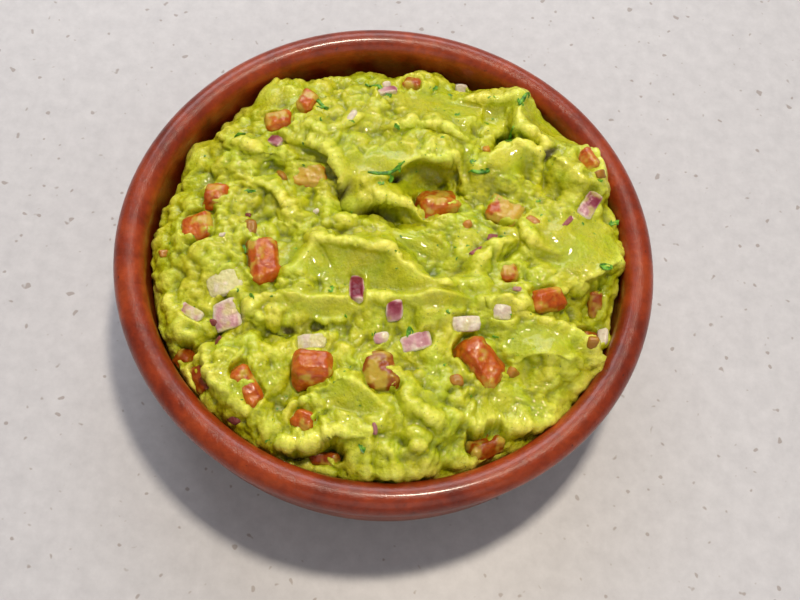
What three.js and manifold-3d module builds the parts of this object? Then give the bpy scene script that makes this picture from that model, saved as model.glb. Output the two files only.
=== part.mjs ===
// Chunky guacamole heaped in a round terracotta dish, with diced tomato and red onion on it.
// Millimetres, +Z up. The dish stands on z = 0, its axis is the Z axis and its front is at -Y.
import * as THREE from 'three';
import { ConvexGeometry } from 'three/addons/geometries/ConvexGeometry.js';
import { mergeVertices } from 'three/addons/utils/BufferGeometryUtils.js';
import Module from 'manifold-3d';

// ---------------------------------------------------------------- driving dimensions
const DISH_RADIUS = 70;        // over the lip
const DISH_HEIGHT = 40;
const LIP_RADIUS = 4;          // the lip is a round bead
const FOOT_RADIUS = 51;        // the flat ring the dish stands on
const FLOOR_HEIGHT = 6.6;      // inside floor above the table
const HEAP_TOP = 41.8;         // middle of the heap without its folds
const CLEARANCE = 0.3;         // kept between neighbouring solids
const SMALLEST_DETAIL = 0.12;  // slivers left by cutting the pockets are merged below this
const SEGMENTS = 60;           // round the dish
const HEAP_CELLS = 27;         // across the top of the heap, each way
const DEG = Math.PI / 180;

// wall of the dish as [radius, height]: outside from the foot up, inside from the lip down
const OUTER_WALL = [[FOOT_RADIUS, 0], [56.5, 3.2], [62.6, 9.5], [66.6, 17.5], [68.2, 26], [68, 32.3]];
const INNER_WALL = [[61.9, 32.5], [60.8, 27], [58.6, 20], [54.6, 13.5], [49, 9.3], [41, 7]];

// where the heap meets the wall: angle from +X in degrees, height, fullness of its shoulder
const HEAP_EDGE = [
  [0, 29, 6], [18, 32, 9], [34, 35, 10], [48, 32, 8], [64, 27, 5], [85, 24, 4.2], [115, 23, 3.8],
  [132, 25, 4.6], [150, 24, 4], [180, 27, 4], [215, 29, 5], [250, 31, 6], [285, 32, 6.5], [315, 27, 5],
  [340, 26, 5],
];

// broad swellings of the heap: x, y, radius, rise
const SWELLINGS = [
  [52, 34, 9, 6.5], [-38, 43, 7, 4], [27, 51, 7, 4.5], [12, -54, 9, 4.5], [46, -24, 9, 4],
  [-30, -42, 9, 2.5], [2, 36, 14, 2.2], [-8, 22, 9, 2.2], [46, 9, 11, 2.6], [28, 28, 6, 2.4],
  [-42, -12, 9, 1.8], [-46, 22, 8, 2.2], [-14, 42, 8, 1.6], [32, -12, 7, 1.8], [-28, 30, 8, 1.4],
  [-2, -46, 7, 2], [20, -40, 9, 1.4], [-48, 2, 6, 1.2],
];

// hollows pressed into the heap: x, y, half-length, half-width, turn, depth
const HOLLOWS = [
  [11, 19, 9, 5, 8, 7], [0, 8.6, 8, 3, -6, 7], [-12.5, 9.5, 3.4, 3, -40, 6],
  [26.5, 37, 2.6, 4.5, -20, 6.5], [-21, 12, 7, 5, 0, 2.6], [12, -4.5, 10, 3.4, -15, 3.2],
  [-29, 2, 8, 6, 0, 2], [53, -8, 6, 5, -20, 5], [-40, -34, 3, 3, 0, 4], [-12, -58, 9, 2.8, 5, 4.5],
  [28, 17, 9, 6, 0, 2.4], [-20, -29, 8, 3, 10, 3], [8, -31, 8, 3, -10, 2.4], [38, 24, 6, 3, -40, 2.6],
  [-36, 14, 7, 3, 10, 1.8], [50, -36, 10, 4, 55, 4.5], [40, 2, 8, 3, 20, 1.8],
  [-34, -30, 5, 3, -30, 2.4], [18, 35, 4, 3, 0, 2.2], [-5, 37, 5, 2.4, 10, 1.8],
  [33, 27, 2.6, 2.2, 0, 2.4], [10, -50, 2, 5, 20, 2.6], [-50, 13, 5, 3, 60, 1.8],
];

// folds left by the spoon: the crest runs along the points; the front lies to its right
const FOLDS = [
  { name: 'front slab', rise: 6.5, front: 13, back: 4.5,
    crest: [[-27, -19], [-22, -12], [-19, -7], [-17.5, -3.5], [-13, -3], [-6, -3], [1, -3.5],
      [6, -7], [10, -9.5], [15, -11], [20, -10], [24, -8]] },
  { name: 'second slab', rise: 3.8, front: 8, back: 3,
    crest: [[-30, -23], [-20, -20], [-8, -19], [4, -17], [14, -14.5], [24, -13]] },
  { name: 'web', rise: 4.2, front: 1.8, back: 10,
    crest: [[-29, 25], [-24, 25.5], [-19, 23], [-15.5, 18], [-12.5, 13], [-10.5, 9], [-9, 7]] },
  { name: 'web right', rise: 3.8, front: 1.8, back: 7,
    crest: [[-10, 7], [-7, 11.5], [-3, 13.2], [2, 13], [9, 11]] },
  { name: 'hooded lip', rise: 5.6, front: 1.8, back: 11,
    crest: [[-4, 18], [0, 22.5], [4, 25], [9, 26], [13, 27], [17, 25.5], [19, 20]] },
  { name: 'back ridge', rise: 3.4, front: 3, back: 7,
    crest: [[-4, 33], [2, 35.5], [8, 35], [14, 33], [20, 34]] },
  { name: 'right flank', rise: 5, front: 4, back: 8,
    crest: [[27, 50], [29, 45], [30, 40], [35, 37], [39, 31], [46, 26], [52, 23]] },
  { name: 'round lobe', rise: 3.6, front: 2.5, back: 9,
    crest: [[36, 24], [36, 29], [33, 32.5], [28, 33], [24, 30], [21.5, 24]] },
  { name: 'lower lobe', rise: 4.6, front: 2.6, back: 10,
    crest: [[26, -45], [36, -41.5], [46, -35.5], [52.5, -28], [53.5, -22], [50, -18], [44, -17],
      [34, -16]] },
  { name: 'front lobe', rise: 4.6, front: 7, back: 3.5,
    crest: [[-17, -50], [-13, -45], [-8, -41.5], [-2, -40.5], [4, -42.5], [9, -47]] },
  { name: 'edge ridge', rise: 4, front: 1.6, back: 6,
    crest: [[-20, -54.5], [-15, -55.5], [-10, -55], [-6.5, -52.5], [-3, -52], [2, -52.5]] },
  { name: 'left lobe', rise: 3.6, front: 3, back: 6,
    crest: [[-40, -33], [-37, -41], [-31, -47.5], [-22, -53]] },
  { name: 'right lip', rise: 3.8, front: 2.6, back: 11,
    crest: [[44, -6], [49, -3], [54, 1.5], [58, 6], [61, 13]] },
  { name: 'middle slope', rise: 2.8, front: 4, back: 4,
    crest: [[21, -7], [24, -2], [27, 4], [31, 8]] },
  { name: 'middle spur', rise: 2.8, front: 3, back: 6,
    crest: [[23, -8], [27, -12.5], [34, -13], [38, -9]] },
  { name: 'back left ridge', rise: 2.8, front: 3, back: 5,
    crest: [[-50, 27], [-43, 22.5], [-36, 20.5], [-30, 21.5]] },
  { name: 'left ridge', rise: 2.6, front: 3, back: 5,
    crest: [[-46, 16], [-38, 12], [-31, 10], [-26, 4], [-22, 0]] },
  { name: 'rear ridge', rise: 2.6, front: 3, back: 5,
    crest: [[10, 48], [17, 50], [23, 48], [28, 50]] },
  { name: 'front right ridge', rise: 2.8, front: 3, back: 6,
    crest: [[5, -29], [9, -36], [12, -43], [19, -46.5], [29, -48]] },
  { name: 'left shoulder', rise: 2.4, front: 3, back: 5,
    crest: [[-54, -20], [-49, -28], [-44, -33], [-38, -35]] },
  { name: 'front spur', rise: 2.6, front: 2.6, back: 5,
    crest: [[4, -60], [2.5, -55], [3, -50], [7, -47]] },
  { name: 'far right ridge', rise: 2.4, front: 3, back: 5,
    crest: [[38, 50], [43, 46.5], [49, 44.5], [53, 41]] },
  { name: 'left crease', rise: 2.4, front: 2.6, back: 6,
    crest: [[-34, -21], [-29, -26], [-22, -27.5], [-14, -27]] },
  { name: 'right crease', rise: 2.2, front: 3, back: 5,
    crest: [[34, -29], [40, -25], [46, -24], [50, -21]] },
  { name: 'rear left crease', rise: 2, front: 2.6, back: 5,
    crest: [[-30, 33], [-24, 30], [-19, 31.5], [-13, 36]] },
  { name: 'right step', rise: 2, front: 2.6, back: 4,
    crest: [[38, 18], [34, 12], [38, 6], [44, 4]] },
];

// diced tomato: x, y, length, width, depth, turn, tip about its length, tip about its width, how proud
const TOMATO = {
  top_left_a: [-35.2, 31.8, 7.4, 6.6, 6, 14, 0, 0, 1.8],
  top_left_b: [-28.4, 39, 4.4, 8, 6, -14, 8, 0, 1.8],
  left_small: [-46.6, 6, 6, 6.4, 5, 12, 0, 8, 1.6],
  left_smeared: [-49.2, -3, 8.4, 9, 6, 20, 0, 0, 1.3],
  left_middle: [-30.4, -11.2, 7, 12.4, 7, 22, 0, 10, 2.2],
  under_web: [-23.6, 16.4, 10, 6.4, 6, 6, 0, -8, 1.6],
  in_hollow: [11, 15.6, 11.4, 9, 7, 16, -12, 0, 2.4],
  right_smeared: [28, 15.4, 9.6, 7.6, 6, -18, 0, 0, 1.4],
  pale_middle: [31.4, -3, 4.6, 5.4, 5, 12, 0, 0, 0.9],
  right_red: [42, -9.4, 9.6, 6, 6, 24, 6, 0, 2.6],
  big_orange: [27.4, -28.6, 13.4, 7.6, 8, -38, -6, 4, 3.2],
  dark_middle: [3.2, -35.6, 7.6, 11, 8, 22, 0, -12, 2.6],
  big_cube: [-13, -38.2, 9, 7.8, 8.6, 8, -18, 6, 5],
  front_left: [-27.6, -44.6, 10.4, 5, 6, -50, 0, 0, 1.6],
  front_small: [-12.6, -50.6, 6, 4.6, 5, -14, 0, 0, 1],
  wall_left_a: [-40, -43, 4.4, 7, 5, 22, 0, 0, 0.9],
  wall_left_b: [-46, -38, 5, 4.4, 5, -30, 0, 0, 0.8],
  wall_front: [-6.6, -57.4, 7.6, 3.8, 5, -3, 0, 0, 0.9],
  wall_right: [32.4, -48.4, 9.4, 5, 6, 26, 0, 0, 1.6],
  wall_lower_right: [51.6, -30, 4.6, 5.4, 5, -30, 0, 0, 1],
  wall_side_a: [55.6, -5, 3.6, 7, 5, 12, 0, 0, 0.9],
  wall_side_b: [56, -13.4, 5.4, 3.6, 5, 20, 0, 0, 0.9],
  rim_pink: [49.6, 33, 4.4, 7, 5, 28, 0, 0, 1.4],
  far_edge: [-1.4, 53.4, 5, 4.4, 4.5, 0, 0, 0, 1.1],
};

// pieces of onion layer: as the tomato, and last how much the piece is bent
const ONION = {
  magenta: [-5.7, -15.6, 3.8, 8, 3.6, 8, 0, 0, 2.2, 0.2],
  lilac_left: [-36.4, -26.6, 7, 7.6, 2.6, 24, 0, 0, 1.4, 0.6],
  pale_left: [-38.6, -18.6, 9.6, 7.2, 2.4, 24, 0, 0, 1.2, 0.8],
  strip_left: [-45.4, -27, 7, 3.2, 2.4, -28, 0, 0, 0.9, 0.4],
  pale_front: [-14.6, -30.4, 8, 4, 2.4, 10, 0, 0, 1, 0.5],
  purple_middle: [4.4, -20.2, 4.2, 5, 3, 14, 0, 0, 1.1, 0.3],
  lilac_middle: [10.8, -26.4, 8, 4.6, 2.6, 18, 0, 0, 1.1, 0.6],
  pale_middle: [2.2, -26.8, 4, 3, 2.2, 10, 0, 0, 0.9, 0.3],
  white_right: [22.4, -19.9, 7.4, 4, 2.6, 8, 0, 0, 1, 0.5],
  white_far_right: [31, -15.4, 5.8, 4, 2.6, 0, 0, 0, 1, 0.5],
  purple_right: [50.4, 19.8, 4.4, 8, 2.8, -22, 0, 0, 1.1, 0.3],
  dark_top_left: [-34.4, 24.8, 4.4, 3.2, 2.4, -20, 0, 0, 0.9, 0.2],
  strip_back: [-7.4, 47.8, 6, 3, 2.6, 32, 0, 0, 1, 0.3],
  clear_back: [12.6, 56, 3.6, 2.8, 4, 10, 0, 0, 2.4, 0.2],
};

const MATERIALS = {
  terracotta: { color: '#8f4128', roughness: 0.35, metalness: 0 },
  guacamole: { color: '#b3ac35', roughness: 0.5, metalness: 0 },
  tomato: { color: '#b8562c', roughness: 0.35, metalness: 0 },
  onion: { color: '#b98a95', roughness: 0.35, metalness: 0 },
};

// ---------------------------------------------------------------- small helpers
const wasm = await Module();
wasm.setup();

function toSolid(geometry) {
  const bare = geometry.clone();
  bare.deleteAttribute('normal');
  bare.deleteAttribute('uv');
  const welded = mergeVertices(bare, 1e-5);
  return new wasm.Manifold(new wasm.Mesh({
    numProp: 3,
    vertProperties: new Float32Array(welded.attributes.position.array),
    triVerts: new Uint32Array(welded.index.array),
  }));
}

function toGeometry(solid) {
  const mesh = solid.getMesh();
  const geometry = new THREE.BufferGeometry();
  geometry.setAttribute('position', new THREE.BufferAttribute(new Float32Array(mesh.vertProperties), 3));
  geometry.setIndex(Array.from(mesh.triVerts));
  return geometry;
}

function named(name, geometry, kind) {
  const mesh = new THREE.Mesh(geometry, new THREE.MeshStandardMaterial(MATERIALS[kind]));
  mesh.name = name;
  return mesh;
}

// a steady number between -1 and 1 for each pair of whole numbers
function chance(a, b) {
  const wave = Math.sin(a * 127.1 + b * 311.7) * 43758.5453;
  return 2 * (wave - Math.floor(wave)) - 1;
}

function smoothStep(from, to, value) {
  const share = Math.min(1, Math.max(0, (value - from) / (to - from)));
  return share * share * (3 - 2 * share);
}

// ---------------------------------------------------------------- the dish
function dishProfile() {
  const lip = [];
  const lipSteps = 7;
  for (let i = 0; i <= lipSteps; i++) {
    const angle = (-42 + (i * 222) / lipSteps) * DEG;
    const radius = DISH_RADIUS - LIP_RADIUS + LIP_RADIUS * Math.cos(angle);
    lip.push([radius, DISH_HEIGHT - LIP_RADIUS + LIP_RADIUS * Math.sin(angle)]);
  }
  const points = [[0, 0], ...OUTER_WALL, ...lip, ...INNER_WALL, [0, FLOOR_HEIGHT]];
  return points.map(([radius, height]) => new THREE.Vector2(radius, height));
}

function dish() {
  const geometry = new THREE.LatheGeometry(dishProfile(), SEGMENTS);
  geometry.rotateX(Math.PI / 2);
  return toGeometry(toSolid(geometry));
}

// inside radius of the dish at a height up to the lip
function insideRadius(height) {
  if (height >= INNER_WALL[0][1]) return INNER_WALL[0][0];
  for (let i = 1; i < INNER_WALL.length; i++) {
    const [upperRadius, upper] = INNER_WALL[i - 1];
    const [lowerRadius, lower] = INNER_WALL[i];
    if (height >= lower) {
      return lowerRadius + ((upperRadius - lowerRadius) * (height - lower)) / (upper - lower);
    }
  }
  return INNER_WALL[INNER_WALL.length - 1][0];
}

// ---------------------------------------------------------------- the heap
// edge height and fullness of the shoulder at an angle, between the listed stations
function heapEdge(angle) {
  const degrees = ((angle / DEG) % 360 + 360) % 360;
  const count = HEAP_EDGE.length;
  for (let i = 0; i < count; i++) {
    const [from, height, fullness] = HEAP_EDGE[i];
    const [next, nextHeight, nextFullness] = HEAP_EDGE[(i + 1) % count];
    const to = i === count - 1 ? 360 + next : next;
    if (degrees >= from && degrees <= to) {
      const share = smoothStep(from, to, degrees);
      return {
        height: height + (nextHeight - height) * share,
        fullness: fullness + (nextFullness - fullness) * share,
      };
    }
  }
  return { height: HEAP_EDGE[0][1], fullness: HEAP_EDGE[0][2] };
}

// rise of one fold at a point: highest on the crest, falling off to the front and to the back
function foldRise(fold, x, y) {
  const { crest } = fold;
  let nearest = Infinity;
  let side = 1;
  let along = 0;
  for (let i = 1; i < crest.length; i++) {
    const [ax, ay] = crest[i - 1];
    const [bx, by] = crest[i];
    const dx = bx - ax;
    const dy = by - ay;
    const share = Math.min(1, Math.max(0, ((x - ax) * dx + (y - ay) * dy) / (dx * dx + dy * dy)));
    const distance = Math.hypot(x - ax - share * dx, y - ay - share * dy);
    if (distance < nearest) {
      nearest = distance;
      side = dx * (y - ay) - dy * (x - ax) < 0 ? 1 : -1;
      along = (i - 1 + share) / (crest.length - 1);
    }
  }
  const reach = side > 0 ? fold.front : fold.back;
  const steepness = side > 0 ? 1.25 : 1.5;
  const ends = 0.35 + 0.65 * Math.sin(Math.PI * along);
  return fold.rise * ends * Math.max(0, 1 - nearest / reach) ** steepness;
}

function hollowDepth([cx, cy, halfLength, halfWidth, turn, depth], x, y) {
  const cos = Math.cos(turn * DEG);
  const sin = Math.sin(turn * DEG);
  const u = ((x - cx) * cos + (y - cy) * sin) / halfLength;
  const v = (-(x - cx) * sin + (y - cy) * cos) / halfWidth;
  return depth * Math.exp(-(u * u + v * v));
}

function heapHeight(x, y) {
  const edge = heapEdge(Math.atan2(y, x));
  const edgeRadius = insideRadius(edge.height) - CLEARANCE;
  const share = Math.min(1, Math.hypot(x, y) / edgeRadius);
  const roundness = Math.sqrt(1 - share ** edge.fullness);
  let relief = 0;
  for (const [cx, cy, radius, rise] of SWELLINGS) {
    relief += rise * Math.exp(-((x - cx) ** 2 + (y - cy) ** 2) / radius ** 2);
  }
  for (const fold of FOLDS) relief += foldRise(fold, x, y);
  for (const hollow of HOLLOWS) relief -= hollowDepth(hollow, x, y);
  relief += 0.5 * Math.sin(x / 2.3 + 1.1) * Math.cos(y / 2.1) + 0.4 * Math.sin((x + y) / 3.7);
  const fade = 1 - smoothStep(0.955, 1, share);
  return edge.height + (HEAP_TOP - edge.height) * roundness + relief * fade;
}

// a point of the square grid from -1 to 1 moved onto the round heap: [angle, share of the radius]
function squareToRound(a, b) {
  if (a === 0 && b === 0) return [0, 0];
  const quarter = Math.PI / 4;
  if (Math.abs(a) > Math.abs(b)) return [quarter * (b / a) + (a < 0 ? Math.PI : 0), Math.abs(a)];
  return [2 * quarter - quarter * (a / b) + (b < 0 ? Math.PI : 0), Math.abs(b)];
}

// the heap: an even grid over its top, then rings down the wall of the dish to the floor
function heap() {
  const positions = [];
  const index = [];
  const row = HEAP_CELLS + 1;
  const quad = (a, b, c, d) => index.push(a, b, c, a, c, d);
  for (let j = 0; j < row; j++) {
    for (let i = 0; i < row; i++) {
      const [angle, share] = squareToRound((2 * i) / HEAP_CELLS - 1, (2 * j) / HEAP_CELLS - 1);
      const radius = share * (insideRadius(heapEdge(angle).height) - CLEARANCE);
      const x = radius * Math.cos(angle);
      const y = radius * Math.sin(angle);
      positions.push(x, y, heapHeight(x, y));
      const at = j * row + i;
      if (i < HEAP_CELLS && j < HEAP_CELLS) quad(at, at + 1, at + row + 1, at + row);
    }
  }

  let above = [];
  for (let k = 0; k < HEAP_CELLS; k++) above.push(k);
  for (let k = 0; k < HEAP_CELLS; k++) above.push(k * row + HEAP_CELLS);
  for (let k = HEAP_CELLS; k > 0; k--) above.push(HEAP_CELLS * row + k);
  for (let k = HEAP_CELLS; k > 0; k--) above.push(k * row);
  const angles = above.map((at) => Math.atan2(positions[3 * at + 1], positions[3 * at]));
  const bulge = INNER_WALL[2][1];
  const rings = [
    (angle) => (heapEdge(angle).height + bulge) / 2,
    ...INNER_WALL.slice(3).map(([, height]) => () => height + CLEARANCE),
  ];
  for (const heightAt of rings) {
    const below = angles.map((angle) => {
      const height = heightAt(angle);
      const radius = insideRadius(height) - 1.5 * CLEARANCE;
      positions.push(radius * Math.cos(angle), radius * Math.sin(angle), height);
      return positions.length / 3 - 1;
    });
    below.forEach((at, k) => {
      const next = (k + 1) % below.length;
      quad(above[k], at, below[next], above[next]);
    });
    above = below;
  }
  positions.push(0, 0, FLOOR_HEIGHT + 2 * CLEARANCE);
  const bottom = positions.length / 3 - 1;
  above.forEach((at, k) => index.push(at, bottom, above[(k + 1) % above.length]));

  const geometry = new THREE.BufferGeometry();
  geometry.setAttribute('position', new THREE.Float32BufferAttribute(positions, 3));
  geometry.setIndex(index);
  return toSolid(geometry);
}

// ---------------------------------------------------------------- the diced pieces
// a cut cube with worn edges whose corners are a little out of true
function cutCube([length, width, depth], seed, grow) {
  const worn = 0.2 * Math.min(length, width, depth);
  const points = [];
  for (let corner = 0; corner < 8; corner++) {
    const signs = [corner & 1 ? 1 : -1, corner & 2 ? 1 : -1, corner & 4 ? 1 : -1];
    const size = [length, width, depth].map((extent, axis) => (
      (extent / 2) * (1 + 0.18 * chance(seed, 3 * corner + axis))
    ));
    for (let axis = 0; axis < 3; axis++) {
      const place = size.map((extent, i) => signs[i] * (extent + grow - (i === axis ? 0 : worn)));
      points.push(new THREE.Vector3(...place));
    }
  }
  return new ConvexGeometry(points);
}

// a piece cut from an onion layer: a slab bent over its length, thinner towards its corners
function onionPiece([length, width, depth], seed, grow, bend) {
  const geometry = new THREE.BoxGeometry(length + 2 * grow, width + 2 * grow, depth + 2 * grow, 4, 2, 1);
  const place = geometry.attributes.position;
  for (let i = 0; i < place.count; i++) {
    const u = place.getX(i) / (length / 2);
    const v = place.getY(i) / (width / 2);
    const taper = 1 - 0.1 * u * u * v * v;
    const skew = 0.08 * chance(seed, 1) * width * u;
    place.setXYZ(
      i,
      place.getX(i) * taper,
      place.getY(i) * taper + skew,
      place.getZ(i) * (1 - 0.12 * (u * u + v * v)) - bend * u * u,
    );
  }
  return geometry;
}

// moves a piece to its place: it follows the slope of the heap and stands proud of it
function settle(geometry, [x, y, , , depth, turn, tipLength, tipWidth, proud]) {
  const step = 3;
  const slopeX = (heapHeight(x + step, y) - heapHeight(x - step, y)) / (2 * step);
  const slopeY = (heapHeight(x, y + step) - heapHeight(x, y - step)) / (2 * step);
  const upright = 1.4;
  const normal = new THREE.Vector3(-slopeX, -slopeY, upright).normalize();
  const lean = new THREE.Quaternion().setFromUnitVectors(new THREE.Vector3(0, 0, 1), normal);
  const own = new THREE.Quaternion().setFromEuler(
    new THREE.Euler(tipLength * DEG, tipWidth * DEG, turn * DEG, 'ZYX'),
  );
  geometry.applyQuaternion(lean.multiply(own));
  const drop = proud - depth / 2;
  geometry.translate(x + normal.x * drop, y + normal.y * drop, heapHeight(x, y) + normal.z * drop);
  return geometry;
}

// ---------------------------------------------------------------- putting it together
const group = new THREE.Group();
group.name = 'guacamole_bowl';
group.add(named('bowl', dish(), 'terracotta'));

let guacamole = heap();
const pieces = [];
function addPiece(name, kind, make, place) {
  guacamole = guacamole.subtract(toSolid(settle(make(CLEARANCE), place)));
  pieces.push(named(name, toGeometry(toSolid(settle(make(0), place))), kind));
}
Object.entries(TOMATO).forEach(([name, place], i) => {
  addPiece(`tomato_${name}`, 'tomato', (grow) => cutCube(place.slice(2, 5), i + 1, grow), place);
});
Object.entries(ONION).forEach(([name, place], i) => {
  const bend = place[9];
  addPiece(`onion_${name}`, 'onion', (grow) => onionPiece(place.slice(2, 5), i + 1, grow, bend), place);
});
group.add(named('guacamole', toGeometry(guacamole.simplify(SMALLEST_DETAIL)), 'guacamole'));
for (const piece of pieces) group.add(piece);

export default group;
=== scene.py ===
"""Guacamole heaped in a terracotta bowl: the looks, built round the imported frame.

Shapes are worked out in millimetres and turned into metres when a mesh is made.
"""
import itertools
import math

import bpy
import numpy as np
from mathutils import Matrix, Vector
from mathutils.bvhtree import BVHTree


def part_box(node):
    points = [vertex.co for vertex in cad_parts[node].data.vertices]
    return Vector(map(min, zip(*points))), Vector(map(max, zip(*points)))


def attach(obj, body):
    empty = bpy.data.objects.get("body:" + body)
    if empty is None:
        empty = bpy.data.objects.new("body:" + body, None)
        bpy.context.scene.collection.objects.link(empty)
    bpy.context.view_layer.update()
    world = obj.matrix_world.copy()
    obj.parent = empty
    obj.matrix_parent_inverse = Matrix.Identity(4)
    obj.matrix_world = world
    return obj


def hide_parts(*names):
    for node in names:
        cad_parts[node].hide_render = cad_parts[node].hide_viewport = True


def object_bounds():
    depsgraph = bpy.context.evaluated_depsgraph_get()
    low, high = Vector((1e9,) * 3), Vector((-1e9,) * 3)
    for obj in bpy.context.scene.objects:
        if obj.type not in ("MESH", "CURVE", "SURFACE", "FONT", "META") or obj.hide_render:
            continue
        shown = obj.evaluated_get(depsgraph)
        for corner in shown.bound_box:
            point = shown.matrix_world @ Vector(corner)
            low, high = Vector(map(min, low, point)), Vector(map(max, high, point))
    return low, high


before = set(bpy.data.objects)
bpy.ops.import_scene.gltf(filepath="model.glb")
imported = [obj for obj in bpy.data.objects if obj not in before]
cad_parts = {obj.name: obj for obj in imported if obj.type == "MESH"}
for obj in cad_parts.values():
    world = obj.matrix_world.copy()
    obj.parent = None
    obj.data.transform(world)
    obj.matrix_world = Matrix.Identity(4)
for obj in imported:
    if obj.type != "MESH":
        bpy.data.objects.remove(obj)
cad_low, cad_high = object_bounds()

MM = 0.001
DEG = math.pi / 180

# ------------------------------------------------------------------ sizes, in millimetres
# the bowl
RIM_RADIUS = (cad_high.x - cad_low.x) / 2 / MM
RIM_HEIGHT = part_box("bowl")[1].z / MM
LIP_RADIUS = 4.0
FLOOR_HEIGHT = 6.6
BOWL_SIDES = 288

# the heap: its top, how far it goes into the wall, and how many cells its surface has each way
HEAP_TOP = 41.3
INTO_WALL = 0.35
HEAP_CELLS = 290

# a height that is above everything, for looking straight down
ABOVE_ALL = 90

# inside of the bowl, from the floor up: heights, and the radius at each
WALL_HEIGHTS = np.array([7.0, 9.3, 13.5, 20.0, 27.0, 32.5])
WALL_RADII = np.array([41.0, 49.0, 54.6, 58.6, 60.8, 61.9])
# outside of the bowl, from the foot up: radius and height
OUTER_WALL = [(51, 0), (53.5, 0.9), (56.5, 3.2), (62.6, 9.5), (66.6, 17.5), (68.2, 26), (68, 31)]

# where the heap meets the wall: angle in degrees, height, fullness of its shoulder
HEAP_EDGE = np.array([
    (0, 29, 6), (18, 32, 9), (34, 35, 10), (48, 32, 8), (64, 27, 5), (85, 24, 4.2), (115, 23, 3.8),
    (132, 25, 4.6), (150, 24, 4), (180, 27, 4), (215, 29, 5), (250, 31, 6), (285, 32, 6.5), (315, 27, 5),
    (340, 26, 5), (360, 29, 6)], float)

# broad swellings of the heap: x, y, radius, rise
SWELLINGS = [
    (52, 34, 9, 6.5), (-38, 43, 7, 4), (27, 51, 7, 4.5), (12, -54, 9, 4.5), (46, -24, 9, 4),
    (-30, -42, 9, 2.5), (2, 36, 14, 2.2), (-8, 22, 9, 2.2), (46, 9, 11, 2.6), (28, 28, 6, 2.4),
    (-42, -12, 9, 1.8), (-46, 22, 8, 2.2), (-14, 42, 8, 1.6), (32, -12, 7, 1.8), (-28, 30, 8, 1.4),
    (-2, -46, 7, 2), (20, -40, 9, 1.4), (-48, 2, 6, 1.2),
]

# lumps that bulge out over the rim or the gap along the wall: x, y, radius, how far outward
BULGES = [
    (-39, 45, 7, 3.2), (52, 36, 8, 3.4), (29, 53, 7, 3), (60, 12, 9, 1.6), (55, -22, 7, 2.6),
    (8, -59, 9, 1.5), (-53, 22, 7, 2), (4, 55, 8, 2.2), (-18, 53, 7, 1.6), (-59, -12, 7, 1.6),
    (58, -13, 4, 2.6), (44, -42, 8, 2.4),
]

# hollows pressed into the heap: x, y, half-length, half-width, turn, depth
HOLLOWS = [
    (11, 19, 9, 5, 8, 7), (0, 8.6, 8, 3, -6, 7), (-12.5, 9.5, 3.4, 3, -40, 6),
    (26.5, 37, 2.6, 4.5, -20, 6.5), (-21, 12, 7, 5, 0, 2.6), (12, -4.5, 10, 3.4, -15, 3.2),
    (-29, 2, 8, 6, 0, 2), (53, -8, 6, 5, -20, 5), (-40, -34, 3, 3, 0, 4), (-12, -58, 9, 2.8, 5, 4.5),
    (28, 17, 9, 6, 0, 2.4), (-20, -29, 8, 3, 10, 3), (8, -31, 8, 3, -10, 2.4), (38, 24, 6, 3, -40, 2.6),
    (-36, 14, 7, 3, 10, 1.8), (50, -36, 10, 4, 55, 4.5), (40, 2, 8, 3, 20, 1.8),
    (-34, -30, 5, 3, -30, 2.4), (18, 35, 4, 3, 0, 2.2), (-5, 37, 5, 2.4, 10, 1.8),
    (33, 27, 2.6, 2.2, 0, 2.4), (10, -50, 2, 5, 20, 2.6), (-50, 13, 5, 3, 60, 1.8),
]

# narrow caves below the folds, pressed in and painted dark as shade: x, y, half-length, half-width, turn,
# depth
CAVES = [
    (-6.8, 9.4, 3.8, 1.6, 12, 4.5), (-11.8, 12.6, 1.6, 2.5, -20, 4), (-1, 19.4, 2.4, 1.3, 20, 3.5),
    (27, 37.6, 2.1, 3.2, -20, 3), (-9, -56.2, 7, 1.0, 10, 2), (-37.2, -32.4, 1.8, 1.8, 0, 3),
    (-12.8, -26.4, 2.2, 1.1, 0, 2.5), (38, 32, 1.4, 3.4, -35, 2), (-20.5, -27.8, 2.6, 1, 8, 2),
]

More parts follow.
